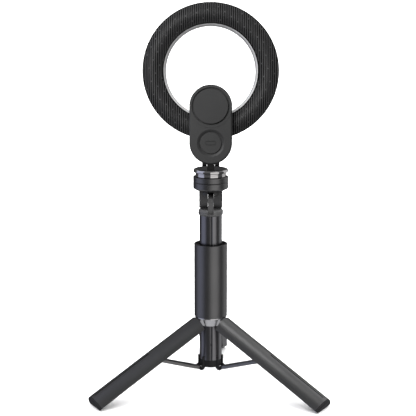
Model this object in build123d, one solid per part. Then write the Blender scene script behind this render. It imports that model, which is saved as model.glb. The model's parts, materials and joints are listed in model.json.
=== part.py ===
from build123d import *
import math
import os

# A ring light on a battery pod, a two-way head and a telescopic mast, standing on three
# folding legs. Millimetres. Z is up, the floor is Z = 0 and the mast stands on the Z axis.
# The user's side, with the phone disc and the button, faces -Y; the light shines to +Y.

# ---- driving dimensions ------------------------------------------------------------

# tripod
LEG_AZIMUTHS = (88.2, 208.2, 328.2)
LEG_SPREAD = 60.6
LEG_OUTER_R = 19.6
LEG_SKIN_R = 17.65
LEG_WEB_R = 13.3
LEG_HALF_ANGLE = 59.35
LEG_FOOT_THICK = 3.0
FOOT_FLAT_DEPTH = 0.5
HINGE_R = 14.8
HINGE_Z = 81.6
HINGE_PIN_R = 0.8
KNUCKLE_R = 1.7
KNUCKLE_HALF_WIDTH = 2.6
LEG_TOP_DROP = 1.94
LEG_TOP_SLANT = 18.0
SLOT_HALF_WIDTH = 0.9
SLOT_START = 71.0
SLOT_END = 145.5
PAD_STATIONS = (30.0, 84.0, 140.0)

# struts between the foot of the mast and the legs
STRUT_PIN_R = 14.8
STRUT_FOOT_Z = 25.6
STRUT_ON_LEG = 72.0
STRUT_THICK = 3.8
STRUT_HALF_WIDTH = 4.8
STRUT_NECK_HALF_WIDTH = 3.8
STRUT_NECK_LENGTH = 7.0
STRUT_EYE_R = 2.1
STRUT_PIN_RADIUS = 0.9

# grip and hinge collar
GRIP_R = 18.65
GRIP_BORE_R = 16.6
GRIP_BOTTOM = 85.6
GRIP_TOP = 169.7
COLLAR_BOTTOM = 75.8

# mast
COLUMN_R = 12.7
COLUMN_WALL = 1.6
COLUMN_BOTTOM = 35.0
COLUMN_TOP = 202.4
COLUMN_CAP_BOTTOM = 26.4
GROOVE_ANGLE = -84.3
GROOVE_SIDE = 1.3
MAST_TUBE_R = {2: 9.9, 3: 7.9, 4: 5.9}
MAST_WALL = 0.8
MAST_BOTTOM = {2: 45.0, 3: 46.0, 4: 47.0}
MAST_TUBE_TOP = 201.8
SHOE_HEIGHT = 8.0
BUSH_HEIGHT = 13.0
RUNNING_GAP = 0.08

# mast cap and its tongue
CAP_R = 13.9
CAP_BOTTOM = 202.5
CAP_TOP = 209.3
TILT_Z = 218.2
TONGUE_R = 7.6
TONGUE_HALF_WIDTH = 3.1

# fork, lock ring and pan platform
FORK_HALF_WIDTH = 12.9
FORK_R = 8.0
FORK_SLOT_HALF_WIDTH = 3.2
FORK_TOP = 229.8
FORK_SLOT_TOP = 231.2
FORK_BRIDGE_Y = 6.4
FORK_NECK_R = 12.0
FORK_PIN_R = 2.5
LOCK_R = 19.55
LOCK_BOTTOM = 229.9
LOCK_SHOULDER = 232.9
LOCK_TOP = 246.2
LOCK_GROOVE_Z = 240.0
PAN_SHOULDER = 246.6
PLATFORM_NECK_R = 17.05
PLATFORM_FLANGE_R = 19.35
PLATFORM_FLANGE_Z = 251.0
PLATFORM_TOP = 254.8
STUD_R = 1.95

# neck hinge; everything above it leans back by HEAD_TILT
NECK_Z = 260.6
HEAD_TILT = 6.9
NECK_KNUCKLE_R = 3.4
NECK_TONGUE_HALF_WIDTH = 4.1
NECK_EAR_IN = 4.4
NECK_EAR_OUT = 9.6
NECK_PIN_R = 1.25

# pod, in the head's own frame: heights from the neck pin, depth along Y
POD_R = 23.7
POD_LOW = 22.9
POD_HIGH = 63.5
POD_BACK = -10.0
POD_SPLIT = -1.0
POD_FRONT = 7.0
POD_WALL = 2.0
DISC_H = 63.2
DISC_R = 19.4
DISC_WELL_R = 21.0
DISC_BOSS_R = 23.5
BUTTON_H = 22.7
BUTTON_R = 11.7
BUTTON_WELL_R = 12.9
BUTTON_DISH_R = 15.2
BUTTON_TRAVEL = 0.6

# ring, in the head's own frame
RING_H = 102.6
RING_R = 76.2
RING_HOLE_R = 52.7
RING_BACK = 3.4
RING_EDGE = 9.0
RIM_START = 11.4
RING_FRONT = 22.0
RING_WALL = 1.8
RING_SEAT_WALL = 1.6
DIFFUSER_HOLE_R = 50.1
DIFFUSER_FRONT = 24.0
LED_ROWS = ((59.0, 36), (69.0, 42))


# ---- helpers -----------------------------------------------------------------------

def rod(radius, low, high):
    """Upright cylinder on the Z axis between two heights."""
    return Pos(0, 0, (low + high) / 2) * Cylinder(radius, high - low)


def pipe(outer, inner, low, high):
    """Upright tube on the Z axis between two heights."""
    return rod(outer, low, high) - rod(inner, low - 1, high + 1)


def block(x0, x1, y0, y1, z0, z1):
    """Box between two corners."""
    centre = Pos((x0 + x1) / 2, (y0 + y1) / 2, (z0 + z1) / 2)
    return centre * Box(x1 - x0, y1 - y0, z1 - z0)


def x_rod(radius, x0, x1, y=0, z=0):
    """Cylinder along X."""
    return Pos((x0 + x1) / 2, y, z) * Rot(0, 90, 0) * Cylinder(radius, x1 - x0)


def y_rod(radius, y0, y1, x=0, z=0):
    """Cylinder along Y."""
    return Pos(x, (y0 + y1) / 2, z) * Rot(90, 0, 0) * Cylinder(radius, y1 - y0)


def turned(points):
    """Solid of revolution about Z from (radius, height) corners."""
    profile = Plane.XZ * make_face(Polyline(*points, close=True))
    return revolve(profile, Axis.Z)


def polar(radius, angle):
    """Plan position at an azimuth in degrees."""
    return radius * math.cos(math.radians(angle)), radius * math.sin(math.radians(angle))


def around_legs(shape):
    """The same piece, drawn on the +X side, at each leg's azimuth."""
    return Compound([Rot(0, 0, angle) * shape for angle in LEG_AZIMUTHS])


def placed_on_head(shape):
    """Moves a piece from the head's own frame to its resting place."""
    return Pos(0, 0, NECK_Z) * Rot(-HEAD_TILT, 0, 0) * shape


def spread(shape):
    """Swings a piece drawn on the folded leg out to the open position."""
    return Pos(HINGE_R, 0, HINGE_Z) * Rot(0, -LEG_SPREAD, 0) * Pos(-HINGE_R, 0, -HINGE_Z) * shape


def leg_length():
    """Distance from hinge to foot; the open leg's lowest corners just pass the floor."""
    lean = math.radians(LEG_SPREAD)
    corner = LEG_WEB_R * math.cos(math.radians(LEG_HALF_ANGLE)) - HINGE_R
    return (HINGE_Z + FOOT_FLAT_DEPTH + corner * math.sin(lean)) / math.cos(lean)


def strut_line():
    """Length and rise of a strut, from its foot pin to its pin in the open leg's slot."""
    lean = math.radians(LEG_SPREAD)
    inset = STRUT_PIN_R - HINGE_R
    reach = HINGE_R + inset * math.cos(lean) + STRUT_ON_LEG * math.sin(lean) - STRUT_PIN_R
    rise = HINGE_Z + inset * math.sin(lean) - STRUT_ON_LEG * math.cos(lean) - STRUT_FOOT_Z
    return math.hypot(reach, rise), math.degrees(math.atan2(rise, reach))


# ---- grip --------------------------------------------------------------------------

def grip_tube():
    tube = pipe(GRIP_R, GRIP_BORE_R, GRIP_BOTTOM, GRIP_TOP)
    tube = fillet(tube.edges().group_by(Axis.Z)[-1].sort_by(SortBy.LENGTH)[-1:], 0.6)
    return chamfer(tube.edges().group_by(Axis.Z)[0].sort_by(SortBy.LENGTH)[-1:], 0.4)


def grip_bush():
    return pipe(GRIP_BORE_R, COLUMN_R + RUNNING_GAP, GRIP_TOP - 14, GRIP_TOP - 3)


def hinge_collar():
    """Turned aluminium cone with a spigot up into the grip and three hinge slots."""
    bore = COLUMN_R + RUNNING_GAP
    cone = turned([
        (bore, COLLAR_BOTTOM),
        (bore + 0.7, COLLAR_BOTTOM),
        (GRIP_R - 0.5, GRIP_BOTTOM - 0.9),
        (GRIP_R - 0.5, GRIP_BOTTOM),
        (GRIP_BORE_R, GRIP_BOTTOM),
        (GRIP_BORE_R, GRIP_BOTTOM + 12),
        (bore, GRIP_BOTTOM + 12),
    ])
    half = KNUCKLE_HALF_WIDTH + 0.3
    slot = block(bore + 0.2, GRIP_R, -half, half, COLLAR_BOTTOM - 1, GRIP_BOTTOM)
    pin = Pos(HINGE_R, 0, HINGE_Z) * Rot(90, 0, 0) * Cylinder(HINGE_PIN_R, 11.6)
    for angle in LEG_AZIMUTHS:
        cone -= Rot(0, 0, angle) * slot
        cone -= Rot(0, 0, angle) * pin
    return cone


def leg_hinge_pins():
    pin = Pos(HINGE_R, 0, HINGE_Z) * Rot(90, 0, 0) * Cylinder(HINGE_PIN_R, 11.4)
    return around_legs(pin)


# ---- legs, drawn folded on the +X side ---------------------------------------------

def sector(outer, inner, low, high, half_angle=LEG_HALF_ANGLE):
    """Part of an upright tube, centred on +X."""
    reach = outer * 2
    x, y = polar(reach, half_angle)
    wedge = make_face(Polyline((0, 0), (x, -y), (reach * 2, -y), (reach * 2, y), (x, y), close=True))
    wedge = Pos(0, 0, low) * extrude(wedge, high - low)
    return pipe(outer, inner, low, high) & wedge


def leg_shell():
    top = HINGE_Z - LEG_TOP_DROP
    bottom = HINGE_Z - leg_length() + LEG_FOOT_THICK
    skin = sector(LEG_OUTER_R, LEG_SKIN_R, bottom, top)
    skin -= Pos(LEG_OUTER_R, 0, top) * Rot(0, -LEG_TOP_SLANT, 0) * block(-40, 10, -40, 40, 0, 20)
    webs = sector(LEG_SKIN_R + 0.1, LEG_WEB_R, bottom, top - 7.5)
    webs -= sector(LEG_SKIN_R + 1, LEG_WEB_R - 1, bottom - 1, top, LEG_HALF_ANGLE - 8)
    shell = skin + webs
    half = KNUCKLE_HALF_WIDTH
    shell += block(HINGE_R - 1.2, LEG_SKIN_R + 0.5, -half, half, top - 6, HINGE_Z)
    shell += Pos(HINGE_R, 0, HINGE_Z) * Rot(90, 0, 0) * Cylinder(KNUCKLE_R, 2 * half)
    shell -= Pos(HINGE_R, 0, HINGE_Z) * Rot(90, 0, 0) * Cylinder(HINGE_PIN_R + 0.05, 4 * half)
    slot_top = HINGE_Z - SLOT_START
    slot_bottom = HINGE_Z - SLOT_END
    shell -= block(HINGE_R, LEG_OUTER_R + 1, -SLOT_HALF_WIDTH, SLOT_HALF_WIDTH, slot_bottom, slot_top)
    for z in (slot_bottom, slot_top):
        shell -= x_rod(SLOT_HALF_WIDTH, HINGE_R, LEG_OUTER_R + 1, 0, z)
    for station in PAD_STATIONS:
        shell -= leg_pad(station)
    return shell


def leg_pad(station):
    """Small rubber bumper let into one long edge of the leg, just proud of it."""
    place = Rot(0, 0, 4 - LEG_HALF_ANGLE) * Pos(LEG_WEB_R + 0.9, 0, HINGE_Z - station)
    return place * Box(2.5, 1.8, 3.2)


def leg_pads():
    return Compound([leg_pad(station) for station in PAD_STATIONS])


def leg_foot():
    """Solid end plug, flat across the leg's mouth, with a rounded outer corner."""
    bottom = HINGE_Z - leg_length()
    top = bottom + LEG_FOOT_THICK
    rounded = turned([
        (0, bottom), (LEG_OUTER_R - 2.2, bottom), (LEG_OUTER_R - 1.0, bottom + 0.4),
        (LEG_OUTER_R - 0.3, bottom + 1.1), (LEG_OUTER_R, bottom + 2.2), (LEG_OUTER_R, top), (0, top),
    ])
    mouth = LEG_WEB_R * math.cos(math.radians(LEG_HALF_ANGLE))
    plug = sector(LEG_OUTER_R, 1, bottom, top) & rounded
    return plug - block(-1, mouth, -20, 20, bottom - 1, top + 1)


def open_leg(shape, angle):
    """Leg piece in its open place, trimmed flat where it stands on the floor."""
    leg = Rot(0, 0, angle) * spread(shape)
    return leg - block(-200, 200, -200, 200, -20, 0)


# ---- struts, drawn lying along +X from the foot pin --------------------------------

def strut():
    length = strut_line()[0]
    neck = STRUT_NECK_HALF_WIDTH
    bar = block(STRUT_NECK_LENGTH, length, -STRUT_HALF_WIDTH, STRUT_HALF_WIDTH,
                -STRUT_THICK / 2, STRUT_THICK / 2)
    bar = chamfer(bar.edges().filter_by(Axis.X), 0.5)
    trough = block(STRUT_NECK_LENGTH + 4, length - 7, -2.2, 2.2, STRUT_THICK / 2 - 0.8, STRUT_THICK)
    bar -= fillet(trough.edges().filter_by(Axis.Z), 2.0)
    bar += block(0, STRUT_NECK_LENGTH, -neck, neck, -STRUT_THICK / 2, STRUT_THICK / 2)
    bar += y_rod(STRUT_EYE_R, -neck, neck)
    bar += y_rod(STRUT_EYE_R, -STRUT_HALF_WIDTH, STRUT_HALF_WIDTH, length)
    bar -= y_rod(STRUT_PIN_RADIUS + 0.05, -9, 9)
    bar -= y_rod(STRUT_PIN_RADIUS, -9, 9, length)
    return bar


def strut_slide_pin():
    return y_rod(STRUT_PIN_RADIUS, -5.2, 5.2, strut_line()[0])


def open_strut(shape, angle):
    rise = strut_line()[1]
    return Rot(0, 0, angle) * Pos(STRUT_PIN_R, 0, STRUT_FOOT_Z) * Rot(0, -rise, 0) * shape


# ---- column and its foot -----------------------------------------------------------

def column_tube():
    """Outer tube with a V groove down its whole length."""
    tube = pipe(COLUMN_R, COLUMN_R - COLUMN_WALL, COLUMN_BOTTOM, COLUMN_TOP)
    middle = (COLUMN_BOTTOM + COLUMN_TOP) / 2
    groove = Pos(COLUMN_R, 0, middle) * Rot(0, 0, 45) * Box(GROOVE_SIDE, GROOVE_SIDE, 2 * middle)
    tube -= Rot(0, 0, GROOVE_ANGLE) * groove
    detent = x_rod(1.0, COLUMN_R - 2, COLUMN_R + 1, 0, COLUMN_BOTTOM + 18.8)
    return tube - Rot(0, 0, GROOVE_ANGLE - 4) * detent


def column_cap():
    """End cap of the column, with a pair of ears for each strut."""
    cap = rod(COLUMN_R, COLUMN_CAP_BOTTOM, COLUMN_BOTTOM)
    cap = fillet(cap.edges().group_by(Axis.Z)[0], 1.6)
    cap += rod(COLUMN_R - COLUMN_WALL, COLUMN_BOTTOM, COLUMN_BOTTOM + 7)
    tip = STRUT_PIN_R + 1.2
    low = STRUT_FOOT_Z - 2.0
    proud = COLUMN_R + 0.5
    outline = make_face(Polyline(
        (COLUMN_R - 2.5, low + 2.5), (COLUMN_R, low), (tip, low), (tip, low + 3.6),
        (proud, low + 5.5), (proud, low + 15.4), (COLUMN_R - 2.5, low + 15.4), close=True))
    ear = extrude(Plane.XZ * outline, -1.9)
    for angle in LEG_AZIMUTHS:
        for offset in (STRUT_NECK_HALF_WIDTH + 0.3, -STRUT_NECK_HALF_WIDTH - 2.2):
            cap += Rot(0, 0, angle) * Pos(0, offset, 0) * ear
    hole = y_rod(STRUT_PIN_RADIUS, -9, 9, STRUT_PIN_R, STRUT_FOOT_Z)
    swing = y_rod(STRUT_EYE_R + 0.3, -STRUT_NECK_HALF_WIDTH - 0.3, STRUT_NECK_HALF_WIDTH + 0.3,
                  STRUT_PIN_R, STRUT_FOOT_Z)
    for angle in LEG_AZIMUTHS:
        cap -= Rot(0, 0, angle) * hole
        cap -= Rot(0, 0, angle) * swing
    return cap - pipe(COLUMN_R, COLUMN_R - COLUMN_WALL, COLUMN_BOTTOM, COLUMN_TOP)


def strut_foot_pins():
    return around_legs(y_rod(STRUT_PIN_RADIUS, -5.1, 5.1, STRUT_PIN_R, STRUT_FOOT_Z))


def column_bush():
    return pipe(COLUMN_R - COLUMN_WALL, MAST_TUBE_R[2] + RUNNING_GAP,
                COLUMN_TOP - BUSH_HEIGHT, COLUMN_TOP)


# ---- telescopic mast ---------------------------------------------------------------

def mast_tube(number):
    outer = MAST_TUBE_R[number]
    return pipe(outer, outer - MAST_WALL, MAST_BOTTOM[number], MAST_TUBE_TOP)


def mast_shoe(number):
    """Slider at the foot of a tube, running inside the next tube out."""
    outside = COLUMN_R - COLUMN_WALL if number == 2 else MAST_TUBE_R[number - 1] - MAST_WALL
    low = MAST_BOTTOM[number]
    return pipe(outside - RUNNING_GAP, MAST_TUBE_R[number], low, low + SHOE_HEIGHT)


def mast_bush(number):
    """Guide in the mouth of a tube for the next tube in."""
    outside = MAST_TUBE_R[number] - MAST_WALL
    return pipe(outside, MAST_TUBE_R[number + 1] + RUNNING_GAP,
                MAST_TUBE_TOP - BUSH_HEIGHT, MAST_TUBE_TOP)


def mast_cap():
    """Collar on the innermost tube, with the tongue that carries the fork."""
    collar = turned([
        (0, CAP_BOTTOM), (CAP_R - 0.8, CAP_BOTTOM), (CAP_R, CAP_BOTTOM + 1.2), (CAP_R, CAP_TOP - 2.2),
        (CAP_R - 0.5, CAP_TOP - 1.0), (CAP_R - 1.7, CAP_TOP), (0, CAP_TOP),
    ])
    half = TONGUE_HALF_WIDTH
    for side in (-1, 1):
        y0, y1 = sorted((side * TONGUE_R, side * (CAP_R + 1)))
        collar -= block(-half, half, y0, y1, CAP_BOTTOM + 1.8, CAP_TOP + 1)
    tongue = block(-half, half, -TONGUE_R, TONGUE_R, CAP_BOTTOM, TILT_Z)
    tongue += x_rod(TONGUE_R, -half, half, 0, TILT_Z)
    cap = collar + tongue
    cap += rod(MAST_TUBE_R[4] - MAST_WALL, CAP_BOTTOM - 16, CAP_BOTTOM)
    return cap - x_rod(FORK_PIN_R + 0.05, -half - 1, half + 1, 0, TILT_Z)


# ---- fork, lock ring, pan platform and neck stud -----------------------------------

def fork():
    """Clevis over the tongue, bridged behind; its neck carries the lock ring and the platform."""
    body = block(-FORK_HALF_WIDTH, FORK_HALF_WIDTH, -FORK_R, FORK_R, TILT_Z, FORK_TOP)
    body += x_rod(FORK_R, -FORK_HALF_WIDTH, FORK_HALF_WIDTH, 0, TILT_Z)
    body = chamfer(body.edges().filter_by(Axis.Z), 0.7)
    body += rod(FORK_NECK_R, FORK_TOP - 4, LOCK_SHOULDER + 5)
    body += rod(9.0, LOCK_SHOULDER + 5, PAN_SHOULDER)
    body += rod(5.0, PAN_SHOULDER, PLATFORM_FLANGE_Z - 0.6)
    half = FORK_SLOT_HALF_WIDTH
    body -= block(-half, half, -20, 20, TILT_Z - 20, FORK_SLOT_TOP)
    body += block(-half, half, FORK_BRIDGE_Y, FORK_R, TILT_Z + 6.2, FORK_SLOT_TOP)
    body -= x_rod(FORK_PIN_R, -20, 20, 0, TILT_Z)
    for side in (-1, 1):
        x0, x1 = sorted((side * (FORK_HALF_WIDTH - 1.4), side * 20))
        body -= x_rod(4.6, x0, x1, 0, TILT_Z)
    body -= rod(3.1, FORK_SLOT_TOP - 1, FORK_SLOT_TOP + 3)
    return body - rod(2.05, FORK_SLOT_TOP, PLATFORM_TOP)


def fork_pin():
    return x_rod(FORK_PIN_R, -FORK_HALF_WIDTH + 1.4, FORK_HALF_WIDTH - 1.4, 0, TILT_Z)


def fork_pin_caps():
    caps = []
    for side in (-1, 1):
        x0, x1 = sorted((side * (FORK_HALF_WIDTH - 1.4), side * FORK_HALF_WIDTH))
        caps.append(x_rod(4.6, x0, x1, 0, TILT_Z))
    return Compound(caps)


def lock_ring():
    bore = FORK_NECK_R + 0.1
    return turned([
        (bore, LOCK_BOTTOM), (13.6, LOCK_BOTTOM), (LOCK_R - 0.9, LOCK_SHOULDER - 0.4),
        (LOCK_R, LOCK_SHOULDER + 0.6), (LOCK_R, LOCK_GROOVE_Z - 0.6), (LOCK_R - 0.6, LOCK_GROOVE_Z),
        (LOCK_R, LOCK_GROOVE_Z + 0.6), (LOCK_R, LOCK_TOP - 0.35), (LOCK_R - 0.35, LOCK_TOP),
        (9.4, LOCK_TOP), (9.4, LOCK_SHOULDER + 5.2), (bore, LOCK_SHOULDER + 5.2),
    ])


def pan_platform():
    """Polished turntable with a waist and a flange."""
    waist = PLATFORM_NECK_R
    flange = PLATFORM_FLANGE_R
    groove = PAN_SHOULDER + 2.6
    body = turned([
        (0, PAN_SHOULDER + 0.2), (waist, PAN_SHOULDER + 0.2), (waist, groove - 0.25),
        (waist - 0.4, groove), (waist, groove + 0.25), (waist, PLATFORM_FLANGE_Z),
        (flange - 0.7, PLATFORM_FLANGE_Z), (flange, PLATFORM_FLANGE_Z + 0.7),
        (flange, PLATFORM_TOP - 1.3), (flange - 0.5, PLATFORM_TOP - 0.4),
        (flange - 1.5, PLATFORM_TOP), (0, PLATFORM_TOP),
    ])
    body -= rod(5.08, PAN_SHOULDER - 1, PLATFORM_FLANGE_Z - 0.2)
    return body - rod(STUD_R, PLATFORM_FLANGE_Z - 1, PLATFORM_TOP + 1)


def neck_stud():
    """Tongue of the neck hinge on a shank, which a nut in the fork's slot holds down."""
    half = NECK_TONGUE_HALF_WIDTH
    stud = block(-half, half, -NECK_KNUCKLE_R, NECK_KNUCKLE_R, PLATFORM_TOP, NECK_Z)
    stud += x_rod(NECK_KNUCKLE_R, -half, half, 0, NECK_Z)
    stud += rod(STUD_R, FORK_SLOT_TOP + 0.1, PLATFORM_TOP)
    stud += rod(3.0, FORK_SLOT_TOP + 0.4, FORK_SLOT_TOP + 2.8)
    return stud - x_rod(NECK_PIN_R + 0.05, -half - 1, half + 1, 0, NECK_Z)


# ---- neck hinge, in the head's own frame -------------------------------------------

def neck_bracket():
    """Clevis let into the underside of the pod."""
    bracket = block(-NECK_EAR_OUT, NECK_EAR_OUT, -7.0, 4.4, 4.0, 6.2)
    for side in (-1, 1):
        x0, x1 = sorted((side * NECK_EAR_IN, side * NECK_EAR_OUT))
        bracket += block(x0, x1, -NECK_KNUCKLE_R, NECK_KNUCKLE_R, 0, 4.5)
        bracket += x_rod(NECK_KNUCKLE_R, x0, x1)
    bracket -= x_rod(NECK_PIN_R, -20, 20)
    return bracket - bracket_screws()


def neck_pin():
    return x_rod(NECK_PIN_R, -NECK_EAR_OUT, NECK_EAR_OUT)


def bracket_screws():
    """Two countersunk screws up into the pod's back shell."""
    screws = []
    for x in (-2.4, 2.4):
        head = Pos(x, -4.5, 4.5) * Cone(1.6, 0.9, 1.0)
        screws.append(head + Pos(x, -4.5, 7.8) * Cylinder(0.9, 6.0))
    return Compound(screws)


# ---- pod, in the head's own frame --------------------------------------------------

def stadium(radius, y0, y1):
    """Upright plate with round ends, the pod's outline."""
    plate = y_rod(radius, y0, y1, 0, POD_LOW) + y_rod(radius, y0, y1, 0, POD_HIGH)
    return plate + block(-radius, radius, y0, y1, POD_LOW, POD_HIGH)


def bracket_window():
    """Opening under the pod, through to the front, that lets the neck's tongue swing."""
    return block(-NECK_EAR_OUT - 0.2, NECK_EAR_OUT + 0.2, -7.2, POD_FRONT + 1, -4, 6.2)


def bracket_shelf(y0, y1):
    """Ceiling over the neck bracket, part of each shell."""
    return block(-NECK_EAR_OUT - 1.6, NECK_EAR_OUT + 1.6, y0, y1, 6.2, 7.6)


def usb_opening():
    opening = block(-POD_R - 1, -POD_R + 4, -2.15, 1.35, 28.05, 37.35)
    return fillet(opening.edges().filter_by(Axis.X), 1.5)


def screw_places():
    """Four pod screws, two low and two high."""
    return [(x, h) for h in (9.5, 77.0) for x in (-13.5, 13.5)]


def screw_posts(y0, y1):
    posts = Compound([y_rod(2.6, y0, y1, x, h) for x, h in screw_places()])
    return posts & stadium(POD_R - 0.5, y0, y1)


def pod_back_shell():
    """The user's side of the pod, with wells for the phone disc and the button."""
    shell = stadium(POD_R, POD_BACK, POD_SPLIT)
    shell = fillet(shell.faces().sort_by(Axis.Y)[0].edges(), 1.8)
    shell -= stadium(POD_R - POD_WALL, POD_BACK + POD_WALL, POD_SPLIT + 1)
    shell += screw_posts(POD_BACK + 1, POD_SPLIT)
    shell += bracket_shelf(POD_BACK + 1, POD_SPLIT)
    shell += block(-5, 5, -6.2, POD_SPLIT, 6.2, 11.8)
    shell += y_rod(DISC_BOSS_R, POD_BACK - 0.5, POD_BACK + 1, 0, DISC_H)
    shell += y_rod(DISC_WELL_R + 1, POD_BACK + 1, -6.3, 0, DISC_H)
    shell -= y_rod(DISC_WELL_R, POD_BACK - 2, -7.5, 0, DISC_H)
    shell -= y_rod(4.1, -9, 0, 0, DISC_H)
    shell -= y_rod(BUTTON_WELL_R, POD_BACK - 2, -7.9, 0, BUTTON_H)
    shell -= Pos(0, POD_BACK + 0.4, BUTTON_H) * Rot(90, 0, 0) * Cone(BUTTON_WELL_R, BUTTON_DISH_R, 0.8)
    return shell - bracket_window() - usb_opening() - pod_screws() - bracket_screws()


def pod_front_shell():
    """Cover on the light's side, hollowed to seat the back of the ring."""
    shell = stadium(POD_R, POD_SPLIT, POD_FRONT)
    shell = fillet(shell.faces().sort_by(Axis.Y)[-1].edges(), 1.8)
    cavity = stadium(POD_R - POD_WALL, POD_SPLIT - 1, POD_FRONT - POD_WALL)
    shell -= cavity - on_ring(ring_solid(-RING_SEAT_WALL))
    shell += screw_posts(POD_SPLIT, POD_FRONT - 1)
    shell += bracket_shelf(POD_SPLIT, POD_FRONT - 1)
    shell -= on_ring(ring_solid(0))
    for x, h in screw_places():
        shell -= y_rod(1.15, POD_SPLIT - 1, POD_FRONT + 1, x, h)
        shell -= y_rod(2.1, POD_FRONT - 1.8, POD_FRONT + 1, x, h)
    return shell - bracket_window() - usb_opening() - ring_screws()


def pod_screws():
    screws = []
    for x, h in screw_places():
        head = y_rod(2.0, POD_FRONT - 1.8, POD_FRONT - 0.3, x, h)
        shank = y_rod(1.0, POD_BACK + 4.0, POD_FRONT - 1.8, x, h)
        screws.append(head + shank)
    return Compound(screws)


def ring_screws():
    """Screws from the pod into the ring casing's posts."""
    screws = []
    for x in (-11, 11):
        screws.append(y_rod(1.9, 0.2, 1.6, x, 39.4) + y_rod(1.0, 1.6, 9.0, x, 39.4))
    return Compound(screws)


def battery():
    cell = block(-16, 16, -3.6, 3.2, 47.4, 73.4)
    return fillet(cell.edges().filter_by(Axis.Z), 2.0)


def control_board():
    return block(-15, 15, -3.2, -2.0, 14.0, 44.0)


def power_switch():
    """Tactile switch and its actuator, just short of the button's stem."""
    body = block(-3, 3, -5.6, -3.2, BUTTON_H - 3, BUTTON_H + 3)
    return body + y_rod(1.7, -6.3, -5.6, 0, BUTTON_H)


def usb_socket():
    """Charging socket: a folded shell with its contact tongue, on the board's edge."""
    shell = block(-22.6, -15.2, -2.0, 1.2, 28.2, 37.2)
    shell = fillet(shell.edges().filter_by(Axis.X), 1.4)
    inner = block(-23, -16.2, -1.7, 0.9, 28.5, 36.9)
    inner = fillet(inner.edges().filter_by(Axis.X), 1.15)
    return shell - inner + block(-21.6, -16.0, -0.7, -0.1, 29.7, 35.7)


# ---- button ------------------------------------------------------------------------

def button():
    cap = y_rod(BUTTON_R, -9.7, -7.8, 0, BUTTON_H)
    cap = fillet(cap.faces().sort_by(Axis.Y)[0].edges(), 0.35)
    cap += y_rod(BUTTON_WELL_R + 1.0, -7.8, -7.0, 0, BUTTON_H)
    outline = SlotOverall(11.4, 4.5) - SlotOverall(10.5, 3.6)
    mark = extrude(Plane(origin=(0, -9.5, BUTTON_H), x_dir=(1, 0, 0), z_dir=(0, -1, 0)) * outline, 1)
    return cap - mark


# ---- phone disc --------------------------------------------------------------------

def phone_disc():
    """Turning disc that holds a phone; magnets sit in pockets behind its face."""
    disc = y_rod(DISC_R, -10.9, -8.4, 0, DISC_H)
    disc = fillet(disc.faces().sort_by(Axis.Y)[0].edges(), 0.6)
    disc += y_rod(4.0, -8.4, -5.6, 0, DISC_H)
    disc -= y_rod(1.2, -8.0, -5.0, 0, DISC_H)
    return disc - disc_magnets() - disc_plate()


def disc_magnets():
    count = 12
    magnet = Pos(14.6, -9.5, 0) * Box(3.0, 1.4, 6.0)
    return Compound([Pos(0, 0, DISC_H) * Rot(0, index * 360 / count, 0) * magnet
                     for index in range(count)])


def disc_plate():
    """Steel backing ring that closes the magnet pockets."""
    return y_rod(18.2, -8.8, -8.4, 0, DISC_H) - y_rod(6.0, -9, -8, 0, DISC_H)


def disc_screw():
    """Screw and washer that hold the disc's spindle from inside the pod."""
    return y_rod(1.2, -7.9, -5.6, 0, DISC_H) + y_rod(5.4, -5.6, -4.6, 0, DISC_H)


# ---- ring, drawn about its own centre ----------------------------------------------

def ring_profile(inset):
    """Casing section, open at the front; inset moves every wall inward."""
    outer = RING_R - inset
    inner = RING_HOLE_R + inset
    middle = (RING_R + RING_HOLE_R) / 2
    back = RING_BACK + inset
    edge = RING_EDGE + inset * 0.4
    side = Line((outer, RING_FRONT), (outer, edge))
    crown = ThreePointArc((outer, edge), (middle, back), (inner, edge))
    bore = Line((inner, edge), (inner, RING_FRONT))
    front = Line((inner, RING_FRONT), (outer, RING_FRONT))
    return make_face(Wire([side, crown, bore, front]))


def ring_solid(inset):
    return revolve(ring_profile(inset), Axis.Y)


def ring_casing():
    casing = ring_solid(0) - ring_solid(RING_WALL)
    casing -= y_rod(RING_HOLE_R + RING_WALL + 1, RIM_START, RING_FRONT + 1)
    casing -= y_rod(RING_R - RING_WALL, RING_FRONT - RING_WALL - 0.1, RING_FRONT + 1)
    for x in (-11, 11):
        casing += y_rod(2.4, 4.6, 10.4, x, 39.4 - RING_H)
    return casing - Pos(0, 0, -RING_H) * ring_screws()


def inner_rim():
    """Pale wall round the hole, tapering towards the light's side."""
    start = RIM_START
    profile = make_face(Polyline(
        (RING_HOLE_R - 0.1, start), (RING_HOLE_R + 1.0, start + 1.3), (RING_HOLE_R + 1.0, 20.6),
        (DIFFUSER_HOLE_R + 1.4, 22.4), (DIFFUSER_HOLE_R, 22.4), (DIFFUSER_HOLE_R + 0.7, 19.0),
        (RING_HOLE_R - 1.1, start), close=True))
    return revolve(profile, Axis.Y)


def diffuser():
    """Milky front plate with a skirt inside the casing."""
    outer = RING_R - RING_WALL - 0.1
    profile = make_face(Polyline(
        (DIFFUSER_HOLE_R, 22.4), (DIFFUSER_HOLE_R + 0.8, DIFFUSER_FRONT), (outer - 0.8, DIFFUSER_FRONT),
        (outer, DIFFUSER_FRONT - 0.8), (outer, 17.0), (outer - 1.4, 17.0), (outer - 1.4, 22.4),
        close=True))
    return revolve(profile, Axis.Y)


def led_board():
    board = y_rod(72.0, 11.6, 12.8) - y_rod(56.2, 11, 13)
    return board


def leds():
    lamps = []
    for radius, count in LED_ROWS:
        for index in range(count):
            lamp = Pos(radius, 13.2, 0) * Box(3.0, 0.8, 2.8)
            lamps.append(Rot(0, index * 360 / count, 0) * lamp)
    return Compound(lamps)


def board_posts():
    """Spacers that hold the LED board off the casing."""
    post = y_rod(2.2, 6.4, 11.6, 64.4, 0)
    return Compound([Rot(0, 30 + index * 60, 0) * post for index in range(6)])


def on_ring(shape):
    return Pos(0, 0, RING_H) * shape


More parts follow.
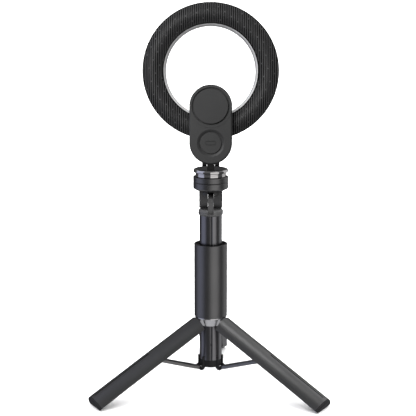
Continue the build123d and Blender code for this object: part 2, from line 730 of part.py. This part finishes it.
# ---- writing the pieces ------------------------------------------------------------

def build_parts():
    parts = {
        "grip_tube": grip_tube(),
        "grip_bush": grip_bush(),
        "hinge_collar": hinge_collar(),
        "leg_hinge_pins": leg_hinge_pins(),
        "column_tube": column_tube(),
        "column_cap": column_cap(),
        "column_bush": column_bush(),
        "strut_foot_pins": strut_foot_pins(),
        "mast_cap": mast_cap(),
        "fork": fork(),
        "fork_pin": fork_pin(),
        "fork_pin_caps": fork_pin_caps(),
        "lock_ring": lock_ring(),
        "pan_platform": pan_platform(),
        "neck_stud": neck_stud(),
    }
    for number, angle in enumerate(LEG_AZIMUTHS, 1):
        parts[f"leg_{number}"] = open_leg(leg_shell(), angle)
        parts[f"leg_foot_{number}"] = open_leg(leg_foot(), angle)
        parts[f"leg_pads_{number}"] = open_leg(leg_pads(), angle)
        parts[f"strut_{number}"] = open_strut(strut(), angle)
        parts[f"strut_slide_pin_{number}"] = open_strut(strut_slide_pin(), angle)
    for number in MAST_TUBE_R:
        parts[f"mast_tube_{number}"] = mast_tube(number)
        parts[f"mast_shoe_{number}"] = mast_shoe(number)
    for number in (2, 3):
        parts[f"mast_bush_{number}"] = mast_bush(number)
    head = {
        "neck_bracket": neck_bracket(),
        "neck_pin": neck_pin(),
        "bracket_screws": bracket_screws(),
        "pod_back_shell": pod_back_shell(),
        "pod_front_shell": pod_front_shell(),
        "pod_screws": pod_screws(),
        "battery": battery(),
        "control_board": control_board(),
        "power_switch": power_switch(),
        "usb_socket": usb_socket(),
        "button": button(),
        "phone_disc": phone_disc(),
        "disc_magnets": disc_magnets(),
        "disc_plate": disc_plate(),
        "disc_screw": disc_screw(),
        "ring_screws": ring_screws(),
        "ring_casing": on_ring(ring_casing()),
        "inner_rim": on_ring(inner_rim()),
        "diffuser": on_ring(diffuser()),
        "led_board": on_ring(led_board()),
        "leds": on_ring(leds()),
        "board_posts": on_ring(board_posts()),
    }
    for name, shape in head.items():
        parts[name] = placed_on_head(shape)
    return parts


os.makedirs("parts", exist_ok=True)
for name, shape in build_parts().items():
    export_step(shape, f"parts/{name}.step")
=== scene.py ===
"""Looks of the ring light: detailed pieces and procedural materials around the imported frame."""
import json
import math
import bpy
from mathutils import Matrix, Vector


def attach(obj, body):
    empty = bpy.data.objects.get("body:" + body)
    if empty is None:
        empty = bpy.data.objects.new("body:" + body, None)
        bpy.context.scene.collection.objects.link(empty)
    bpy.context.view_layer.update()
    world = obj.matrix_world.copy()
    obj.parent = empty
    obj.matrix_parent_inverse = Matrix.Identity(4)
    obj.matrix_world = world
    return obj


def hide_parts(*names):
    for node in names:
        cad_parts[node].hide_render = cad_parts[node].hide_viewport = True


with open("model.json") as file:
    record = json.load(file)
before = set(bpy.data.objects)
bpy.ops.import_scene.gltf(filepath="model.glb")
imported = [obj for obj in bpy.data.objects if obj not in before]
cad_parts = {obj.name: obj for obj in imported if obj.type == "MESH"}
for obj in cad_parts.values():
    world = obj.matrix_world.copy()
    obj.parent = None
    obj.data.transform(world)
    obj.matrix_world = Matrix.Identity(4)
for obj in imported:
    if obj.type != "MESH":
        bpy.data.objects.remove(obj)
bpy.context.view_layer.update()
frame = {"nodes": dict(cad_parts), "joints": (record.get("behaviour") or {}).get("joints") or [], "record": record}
MM = 0.001

# ---- places taken from the frame -----------------------------------------------------

JOINTS = {joint["name"]: joint for joint in frame["joints"]}
NECK = Vector(JOINTS["head_tilt"]["pos_m"])
PRESS = Vector(JOINTS["button_press"]["axis"])
LEAN = math.atan2(-PRESS.z, PRESS.y)
HEAD = Matrix.Translation(NECK) @ Matrix.Rotation(-LEAN, 4, "X")


def head_box(node):
    """Lowest and highest corners of a node, in the head's own upright frame."""
    inverse = HEAD.inverted()
    points = [inverse @ vertex.co for vertex in frame["nodes"][node].data.vertices]
    low = Vector([min(point[axis] for point in points) for axis in range(3)])
    high = Vector([max(point[axis] for point in points) for axis in range(3)])
    return low, high


casing_low, casing_high = head_box("ring_casing")
rim_low, rim_high = head_box("inner_rim")
RING_R = (casing_high.x - casing_low.x) / 2
RING_H = (casing_high.z + casing_low.z) / 2
RING_BACK = casing_low.y
RING_FRONT = casing_high.y
RIM_START = rim_low.y
RIM_END = rim_high.y

# ring section, as in the casing
CASING_WIDTH = 23.5 * MM
CASING_WALL = 1.8 * MM
CROWN_RISE = 5.6 * MM
HOLE_R = RING_R - CASING_WIDTH
EDGE_DEPTH = RING_BACK + CROWN_RISE
CROWN_MID = (RING_R + HOLE_R) / 2
CROWN_HALF = (RING_R - HOLE_R) / 2
CROWN_R = (CROWN_HALF ** 2 + CROWN_RISE ** 2) / (2 * CROWN_RISE)
DIFFUSER_HOLE_R = HOLE_R - 2.6 * MM

# ribs on the back of the ring
RIB_PITCH = 2.4 * MM
RIB_WIDTH = 1.15 * MM
RIB_HEIGHT = 1.5 * MM
RIB_INNER_R = HOLE_R + 1.2 * MM
RIB_OUTER_R = RING_R - 1.1 * MM
BRIDGE_SPACING = 38 * MM
BRIDGE_LENGTH = 1.3 * MM
GOLDEN = 0.618034

# flutes round the hole
FLUTES = 360
FLUTE_DEPTH = 0.35 * MM

# outline engraved in the button
MARK_HALF_LENGTH = 3.45 * MM
MARK_OUTER_R = 2.35 * MM
MARK_INNER_R = 1.7 * MM

# nodes that have a lamp of their own; the ring shares the head's
HEAD_LIT = ("pod_back_shell", "pod_front_shell", "phone_disc", "button")
LEGS = ("leg_1", "leg_2", "leg_3")


# ---- mesh helpers --------------------------------------------------------------------

def mesh_object(name, points, faces, body, material, smooth=True):
    """New piece from head-frame or world points, riding on a body."""
    mesh = bpy.data.meshes.new(name)
    mesh.from_pydata(points, [], faces)
    mesh.validate()
    mesh.polygons.foreach_set("use_smooth", [smooth] * len(mesh.polygons))
    piece = bpy.data.objects.new(name, mesh)
    bpy.context.collection.objects.link(piece)
    mesh.materials.append(material)
    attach(piece, body)
    return piece


def lathe(profile, segments, ripple=None):
    """Closed ring about the head's depth axis from a closed (radius, depth) profile."""
    count = len(profile)
    points = []
    for turn in range(segments):
        angle = 2 * math.pi * turn / segments
        for index, (radius, depth) in enumerate(profile):
            reach = radius + (ripple(index, turn) if ripple else 0.0)
            local = Vector((reach * math.sin(angle), depth, RING_H + reach * math.cos(angle)))
            points.append(HEAD @ local)
    faces = []
    for turn in range(segments):
        here = turn * count
        there = (turn + 1) % segments * count
        for index in range(count):
            after = (index + 1) % count
            faces.append((here + index, here + after, there + after, there + index))
    return points, faces


def crown(radius):
    """Depth of the casing's curved back at a radius."""
    return RING_BACK + CROWN_R - math.sqrt(CROWN_R ** 2 - (radius - CROWN_MID) ** 2)


# ---- materials -----------------------------------------------------------------------

def new_material(name):
    material = bpy.data.materials.new(name)
    material.use_nodes = True
    shader = material.node_tree.nodes["Principled BSDF"]
    return material, material.node_tree, shader


def object_noise(tree, scale, detail=3.0, stretch=(1, 1, 1)):
    """Noise in the object's own coordinates, optionally stretched."""
    coords = tree.nodes.new("ShaderNodeTexCoord")
    mapping = tree.nodes.new("ShaderNodeMapping")
    mapping.inputs["Scale"].default_value = stretch
    noise = tree.nodes.new("ShaderNodeTexNoise")
    noise.inputs["Scale"].default_value = scale
    noise.inputs["Detail"].default_value = detail
    tree.links.new(coords.outputs["Object"], mapping.inputs["Vector"])
    tree.links.new(mapping.outputs["Vector"], noise.inputs["Vector"])
    return noise


def spread_values(tree, source, low, high):
    """Maps a 0.3 to 0.7 noise value onto a range."""
    ramp = tree.nodes.new("ShaderNodeMapRange")
    ramp.inputs["From Min"].default_value = 0.3
    ramp.inputs["From Max"].default_value = 0.7
    ramp.inputs["To Min"].default_value = low
    ramp.inputs["To Max"].default_value = high
    tree.links.new(source, ramp.inputs["Value"])
    return ramp.outputs["Result"]


def tinted(tree, source, dark, light):
    """Colour between two tones, chosen by a noise value."""
    ramp = tree.nodes.new("ShaderNodeValToRGB")
    ramp.color_ramp.elements[0].position = 0.3
    ramp.color_ramp.elements[1].position = 0.7
    ramp.color_ramp.elements[0].color = (*dark, 1)
    ramp.color_ramp.elements[1].color = (*light, 1)
    tree.links.new(source, ramp.inputs["Fac"])
    return ramp.outputs["Color"]


def surface(name, dark, light, rough, metallic=0.0, grain=900.0, bump=0.1, depth=0.02 * MM,
            stretch=(1, 1, 1), mottle=25.0, shine=0.5):
    """Finish with mottled colour, uneven roughness and a fine grain."""
    material, tree, shader = new_material(name)
    cloud = object_noise(tree, mottle, 4.0)
    fine = object_noise(tree, grain, 2.0, stretch)
    tree.links.new(tinted(tree, cloud.outputs["Fac"], dark, light), shader.inputs["Base Color"])
    tree.links.new(spread_values(tree, fine.outputs["Fac"], *rough), shader.inputs["Roughness"])
    relief = tree.nodes.new("ShaderNodeBump")
    relief.inputs["Strength"].default_value = bump
    relief.inputs["Distance"].default_value = depth
    tree.links.new(fine.outputs["Fac"], relief.inputs["Height"])
    tree.links.new(relief.outputs["Normal"], shader.inputs["Normal"])
    shader.inputs["Metallic"].default_value = metallic
    shader.inputs["Specular IOR Level"].default_value = shine
    return material


def make_materials():
    """One procedural finish for each material slot of the record."""
    brushed = (1, 1, 0.02)
    made = {
        "satin_black_metal": surface("satin_black_metal", (0.19, 0.19, 0.192), (0.21, 0.21, 0.212),
                                     (0.38, 0.44), 1.0, 1600.0, 0.15),
        "tube_black": surface("tube_black", (0.225, 0.225, 0.235), (0.25, 0.25, 0.26),
                              (0.28, 0.34), 1.0, 1800.0, 0.1, stretch=brushed),
        "bare_aluminium": surface("bare_aluminium", (0.66, 0.66, 0.67), (0.72, 0.72, 0.73),
                                  (0.16, 0.22), 1.0, 1500.0, 0.1, stretch=(0.05, 0.05, 1)),
        "polished_steel": surface("polished_steel", (0.7, 0.69, 0.69), (0.76, 0.75, 0.75),
                                  (0.08, 0.13), 1.0, 1200.0, 0.03),
        "pin_steel": surface("pin_steel", (0.5, 0.5, 0.52), (0.6, 0.6, 0.62), (0.25, 0.4), 1.0),
        "black_plastic": surface("black_plastic", (0.022, 0.022, 0.022), (0.026, 0.026, 0.026),
                                 (0.42, 0.5), 0.0, 2600.0, 0.35, shine=0.28),
        "ribbed_plastic": surface("ribbed_plastic", (0.034, 0.034, 0.034), (0.04, 0.04, 0.04),
                                  (0.5, 0.58), 0.0, 2600.0, 0.3),
        "leg_black": surface("leg_black", (0.28, 0.28, 0.28), (0.3, 0.3, 0.3), (0.37, 0.43), 1.0,
                             1600.0, 0.2),
        "disc_silicone": surface("disc_silicone", (0.019, 0.019, 0.019), (0.023, 0.023, 0.023),
                                 (0.48, 0.56), 0.0, 3000.0, 0.3, shine=0.3),
        "foot_rubber": surface("foot_rubber", (0.016, 0.016, 0.017), (0.022, 0.022, 0.023),
                               (0.65, 0.8), 0.0, 2000.0, 0.5),
        "inner_plastic": surface("inner_plastic", (0.02, 0.02, 0.021), (0.03, 0.03, 0.031),
                                 (0.45, 0.6)),
        "white_board": surface("white_board", (0.75, 0.75, 0.73), (0.82, 0.82, 0.8), (0.35, 0.45)),
        "green_board": surface("green_board", (0.02, 0.12, 0.06), (0.03, 0.16, 0.08), (0.3, 0.4)),
        "led_package": surface("led_package", (0.8, 0.7, 0.25), (0.88, 0.8, 0.4), (0.25, 0.35)),
        "cell_wrap": surface("cell_wrap", (0.3, 0.31, 0.33), (0.38, 0.39, 0.41), (0.2, 0.35), 0.6),
        "magnet": surface("magnet", (0.55, 0.55, 0.55), (0.62, 0.62, 0.62), (0.15, 0.25), 1.0),
    }
    milky = surface("milky_plastic", (0.8, 0.8, 0.79), (0.85, 0.85, 0.84), (0.3, 0.4), 0.0, 1500.0, 0.1)
    shader = milky.node_tree.nodes["Principled BSDF"]
    shader.inputs["Subsurface Weight"].default_value = 0.25
    shader.inputs["Subsurface Scale"].default_value = 1.5 * MM
    made["milky_plastic"] = milky
    return made


MATERIALS = make_materials()

# finishes of single pieces, beside the slots' own
# near-black casing under the ribs: painted shade in the grooves between the ribs and on the lips
PAINTED_SHADE_BED = surface("rib_bed_painted_shade", (0.004, 0.004, 0.004), (0.007, 0.007, 0.007), (0.4, 0.5), 0.0, 2600.0,
                      0.2, shine=0.12)
RIM_PLASTIC = surface("rim_plastic", (0.54, 0.54, 0.54), (0.6, 0.6, 0.6), (0.4, 0.5), 0.0, 1500.0, 0.1)
# near-black that stands in for shade: painted shade on the neck bracket, its stud, pin and screws under the pod,
# on the strut foot pins and in the button's groove
PAINTED_SHADE_BLACK = surface("painted_shade_black", (0.006, 0.006, 0.006), (0.009, 0.009, 0.009), (0.3, 0.4), 0.0,
                     2600.0, 0.2)
CAP_LACQUER = surface("cap_lacquer", (0.13, 0.13, 0.13), (0.15, 0.15, 0.15), (0.26, 0.34), 0.0,
                      1600.0, 0.1)
FORK_PLASTIC = surface("fork_plastic", (0.062, 0.062, 0.062), (0.07, 0.07, 0.07), (0.42, 0.5), 0.0,
                       2600.0, 0.3)

# nodes with a finish of their own, apart from their slot's
OWN_FINISH = {
    # the neck pieces and the strut foot pins take the near-black of painted shade
    "neck_bracket": PAINTED_SHADE_BLACK,
    "neck_stud": PAINTED_SHADE_BLACK,
    "neck_pin": PAINTED_SHADE_BLACK,
    "bracket_screws": PAINTED_SHADE_BLACK,
    "strut_foot_pins": PAINTED_SHADE_BLACK,
    "fork": FORK_PLASTIC,
    "fork_pin_caps": FORK_PLASTIC,
    "mast_cap": CAP_LACQUER,
    "strut_1": MATERIALS["leg_black"],
    "strut_2": MATERIALS["leg_black"],
    "strut_3": MATERIALS["leg_black"],
}


# ---- ring ----------------------------------------------------------------------------

def ring_shell():
    """Casing with smooth lips and a sunken bed for the ribs, in near-black that paints the shade in the grooves
    and on the lips.
    """
    steps = 10
    bed = []
    for step in range(steps + 1):
        radius = RIB_INNER_R + (RIB_OUTER_R - RIB_INNER_R) * step / steps
        bed.append((radius, crown(radius) + RIB_HEIGHT))
    outside = [
        (HOLE_R, RIM_START),
        (HOLE_R, EDGE_DEPTH + 0.5 * MM),
        (HOLE_R + 0.35 * MM, crown(HOLE_R + 0.35 * MM)),
        (RIB_INNER_R - 0.05 * MM, crown(RIB_INNER_R)),
        *bed,
        (RIB_OUTER_R + 0.05 * MM, crown(RIB_OUTER_R)),
        (RING_R - 0.5 * MM, crown(RING_R - 0.5 * MM)),
        (RING_R, EDGE_DEPTH + 0.8 * MM),
        (RING_R, RING_FRONT - 0.4 * MM),
        (RING_R - 0.4 * MM, RING_FRONT),
    ]
    inside = [
        (RING_R - CASING_WALL, RING_FRONT),
        (RING_R - CASING_WALL, EDGE_DEPTH + 1.2 * MM),
        (CROWN_MID + 6 * MM, RING_BACK + 3.6 * MM),
        (CROWN_MID - 6 * MM, RING_BACK + 3.6 * MM),
        (HOLE_R + CASING_WALL, EDGE_DEPTH + 1.2 * MM),
        (HOLE_R + CASING_WALL, RIM_START),
    ]
    points, faces = lathe(outside + inside, 256)
    shell = mesh_object("ring_shell", points, faces, "head", PAINTED_SHADE_BED)
    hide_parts("ring_casing")
    return shell


def rib_rows(x):
    """Stretches of a vertical line at x that lie between the ribs' inner and outer radius."""
    top = math.sqrt(RIB_OUTER_R ** 2 - x * x)
    if abs(x) >= RIB_INNER_R:
        return [(-top, top)]
    bottom = math.sqrt(RIB_INNER_R ** 2 - x * x)
    return [(-top, -bottom), (bottom, top)]


def add_bar(points, faces, left, right, low, high, rows):
    """Raised bar that follows the crown, with bevelled long edges."""
    bevel = 0.25 * (right - left)
    start = len(points)
    across = ((left, 1.0), (left + bevel, 0.0), (right - bevel, 0.0), (right, 1.0))
    for row in range(rows + 1):
        height = low + (high - low) * row / rows
        for x, sunk in across:
            radius = min(max(math.hypot(x, height), RIB_INNER_R), RIB_OUTER_R)
            shoulder = 0.3 * MM if sunk else 0.0
            points.append(HEAD @ Vector((x, crown(radius) + shoulder, RING_H + height)))
        for x in (right, left):
            radius = min(max(math.hypot(x, height), RIB_INNER_R), RIB_OUTER_R)
            points.append(HEAD @ Vector((x, crown(radius) + RIB_HEIGHT + 0.1 * MM, RING_H + height)))
    wide = len(across) + 2
    for row in range(rows):
        here = start + row * wide
        for index in range(wide):
            after = (index + 1) % wide
            faces.append((here + index, here + after, here + wide + after, here + wide + index))
    faces.append(tuple(start + index for index in reversed(range(wide))))
    faces.append(tuple(start + rows * wide + index for index in range(wide)))


def button_groove_shade():
    """Near-black outline of a short bar, filling the groove in the button's face: painted shade in the groove."""
    box_low, box_high = head_box("button")
    middle = (box_low.z + box_high.z) / 2
    front = box_low.y
    steps = 12
    points, faces = [], []
    for depth in (front - 0.05 * MM, front + 0.3 * MM):
        for radius in (MARK_OUTER_R, MARK_INNER_R):
            for side in (1, -1):
                for step in range(steps + 1):
                    angle = math.pi * step / steps
                    x = side * (MARK_HALF_LENGTH + radius * math.sin(angle))
                    height = middle + side * radius * math.cos(angle)
                    points.append(HEAD @ Vector((x, depth, height)))
    count = 2 * (steps + 1)
    joined_loops = ((0, 1), (1, 3), (3, 2), (2, 0))
    for index in range(count):
        after = (index + 1) % count
        for first, second in joined_loops:
            faces.append((first * count + index, first * count + after,
                          second * count + after, second * count + index))
    return mesh_object("button_groove_shade", points, faces, "button", PAINTED_SHADE_BLACK, smooth=False)


def ring_ribs():
    """Upright ribs over the whole back, with short bridges across the grooves."""
    points, faces = [], []
    count = int(RIB_OUTER_R / RIB_PITCH)
    for number in range(-count, count + 1):
        x = number * RIB_PITCH
        for low, high in rib_rows(x):
            rows = max(3, int((high - low) / (2.5 * MM)))
            add_bar(points, faces, x - RIB_WIDTH / 2, x + RIB_WIDTH / 2, low, high, rows)
        groove = x + RIB_PITCH / 2
        if abs(groove) > RIB_OUTER_R - RIB_PITCH:
            continue
        phase = (number * GOLDEN) % 1.0
        for low, high in rib_rows(groove):
            first = math.ceil((low + 3 * MM) / BRIDGE_SPACING - phase)
            last = math.floor((high - 3 * MM) / BRIDGE_SPACING - phase)
            for step in range(first, last + 1):
                height = (step + phase) * BRIDGE_SPACING
                half = (RIB_PITCH - RIB_WIDTH) / 2 + 0.15 * MM
                add_bar(points, faces, groove - half, groove + half,
                        height - BRIDGE_LENGTH / 2, height + BRIDGE_LENGTH / 2, 1)
    return mesh_object("ring_ribs", points, faces, "head",
                       MATERIALS["ribbed_plastic"], smooth=False)


def fluted_rim():
    """Pale wall round the hole: a smooth band, a step, and fine flutes to the front."""
    band = RIM_START + 4.2 * MM
    profile = [
        (HOLE_R - 0.1 * MM, RIM_START),
        (HOLE_R - 0.9 * MM, RIM_START + 0.4 * MM),
        (HOLE_R - 1.1 * MM, band),
        (HOLE_R - 1.5 * MM, band + 0.3 * MM),
        (DIFFUSER_HOLE_R + 0.3 * MM, RIM_END - 0.8 * MM),
        (DIFFUSER_HOLE_R + 0.2 * MM, RIM_END),
        (DIFFUSER_HOLE_R + 1.4 * MM, RIM_END),
        (HOLE_R + 1.0 * MM, RIM_END - 1.8 * MM),
        (HOLE_R + 1.0 * MM, RIM_START + 1.3 * MM),
    ]
    fluted = (3, 4)

    def ripple(index, turn):
        return FLUTE_DEPTH if index in fluted and turn % 2 else 0.0

    points, faces = lathe(profile, FLUTES * 2, ripple)
    rim = mesh_object("fluted_rim", points, faces, "head",
                      RIM_PLASTIC, smooth=False)
    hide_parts("inner_rim")
    return rim


# ---- dressing the CAD nodes ----------------------------------------------------------

def dress_nodes():
    """Gives every kept node its own finish or the procedural finish of its slot."""
    for part in frame["record"]["subparts"]:
        node = frame["nodes"][part["node"]]
        node.data.materials.clear()
        node.data.materials.append(OWN_FINISH.get(part["node"], MATERIALS[part["material_slot"]]))


# ---- stage, lights and camera --------------------------------------------------------

def pale_floor():
    size = 30.0
    mesh = bpy.data.meshes.new("floor")
    mesh.from_pydata([(-size, -size, 0), (size, -size, 0), (size, size, 0), (-size, size, 0)],
                     [], [(0, 1, 2, 3)])
    floor = bpy.data.objects.new("floor", mesh)
    bpy.context.collection.objects.link(floor)
    mesh.materials.append(surface("floor_paper", (0.86, 0.86, 0.86), (0.88, 0.88, 0.88), (0.8, 0.9),
                                  0.0, 60.0, 0.05, mottle=2.0))
    floor.visible_glossy = False
    floor.visible_diffuse = False
    return floor


def hang_lamp(data, place, aim):
    """Puts a lamp at a place, turned to a point; the camera doesn't see it."""
    light = bpy.data.objects.new(data.name, data)
    light.location = place
    light.rotation_euler = (aim - place).to_track_quat("-Z", "Y").to_euler()
    light.visible_camera = False
    bpy.context.collection.objects.link(light)
    return light


def disk_lamp(name, place, aim, size, energy):
    """Round area light."""
    data = bpy.data.lights.new(name, "AREA")
    data.shape = "DISK"
    data.size = size
    data.energy = energy
    return hang_lamp(data, Vector(place), Vector(aim))


def softbox(name, azimuth, distance, height, width, tall, power, colour=(1, 1, 1)):
    """Upright area light facing the object; azimuth 0 is the camera's side, 90 is to the right."""
    angle = math.radians(azimuth)
    place = Vector((math.sin(angle) * distance, -math.cos(angle) * distance, height))
    aim = Vector((0, 0, height))
    data = bpy.data.lights.new(name, "AREA")
    data.shape = "RECTANGLE"
    data.size = width
    data.size_y = tall
    data.energy = power
    data.color = colour
    return hang_lamp(data, place, aim)


def link_light(light, pieces, state):
    """Makes a light shine only on some pieces (INCLUDE) or on all but them (EXCLUDE)."""
    group = bpy.data.collections.new(light.name + "_pieces")
    for piece in pieces:
        group.objects.link(piece)
    for entry in group.collection_objects:
        entry.light_linking.link_state = state
    light.light_linking.receiver_collection = group


def head_key(pieces):
    """Lamp in front, a little high and to the left, that models the ring and the pod."""
    light = disk_lamp("head_key", (-0.5, -1.4, 0.95), (0, 0, 0.35), 0.9, 24)
    link_light(light, pieces, "INCLUDE")


def leg_light(pieces):
    """Lamp overhead that draws the soft highlight along each leg."""
    light = disk_lamp("leg_light", (0.22, 0.05, 1.6), (0.22, 0.05, 0), 0.6, 2.2)
    link_light(light, pieces, "INCLUDE")


def sky_light(name, energy):
    """Very soft light from straight above."""
    data = bpy.data.lights.new(name, "SUN")
    data.energy = energy
    data.angle = math.radians(120)
    light = bpy.data.objects.new(name, data)
    light.visible_glossy = False
    bpy.context.collection.objects.link(light)
    return light


def studio_world():
    """Dark surroundings at eye level, paler behind the top of the view and underneath."""
    world = bpy.data.worlds.new("studio")
    world.use_nodes = True
    bpy.context.scene.world = world
    tree = world.node_tree
    back = tree.nodes["Background"]
    coords = tree.nodes.new("ShaderNodeTexCoord")
    split = tree.nodes.new("ShaderNodeSeparateXYZ")
    ramp = tree.nodes.new("ShaderNodeValToRGB")
    shift = tree.nodes.new("ShaderNodeMapRange")
    shift.inputs["From Min"].default_value = -1.0
    tones = ((0.0, 0.6), (0.3, 0.12), (0.45, 0.045), (0.62, 0.045), (0.76, 0.2), (1.0, 0.1))
    for spare in range(len(tones) - 2):
        ramp.color_ramp.elements.new(0.5)
    for element, (position, tone) in zip(ramp.color_ramp.elements, tones):
        element.position = position
        element.color = (tone, tone, tone * 1.03, 1)
    tree.links.new(coords.outputs["Generated"], split.inputs["Vector"])
    tree.links.new(split.outputs["Z"], shift.inputs["Value"])
    tree.links.new(shift.outputs["Result"], ramp.inputs["Fac"])
    tree.links.new(ramp.outputs["Color"], back.inputs["Color"])
    back.inputs["Strength"].default_value = 1.0


def place_camera():
    data = bpy.data.cameras.new("camera")
    data.lens = 105.6
    data.sensor_width = 36.0
    camera = bpy.data.objects.new("camera", data)
    camera.location = (-0.00305, -1.3407, 0.48136)
    camera.rotation_euler = (math.radians(90 - 11.446), 0, 0)
    bpy.context.collection.objects.link(camera)
    bpy.context.scene.camera = camera


def main():
    bpy.context.scene.view_settings.view_transform = "Standard"
    place_camera()
    dress_nodes()
    ring = [ring_shell(), ring_ribs()]
    rim = fluted_rim()
    button_groove_shade()
    floor = pale_floor()
    softbox("left_window", -80, 1.4, 0.5, 1.5, 3.2, 8, (0.72, 0.76, 1.0))
    front = softbox("front_window", 27, 1.9, 0.5, 2.1, 3.4, 16, (1.0, 0.98, 0.97))
    softbox("right_window", 122, 1.4, 0.5, 1.3, 3.2, 6)
    sky_light("sky_light", 3.4)
    link_light(sky_light("floor_light", 5.0), [floor], "INCLUDE")
    studio_world()
    head = ring + [frame["nodes"][name] for name in HEAD_LIT]
    legs = [frame["nodes"][name] for name in LEGS]
    link_light(front, head + legs, "EXCLUDE")
    head_key(head + [rim])
    leg_light(legs)


main()
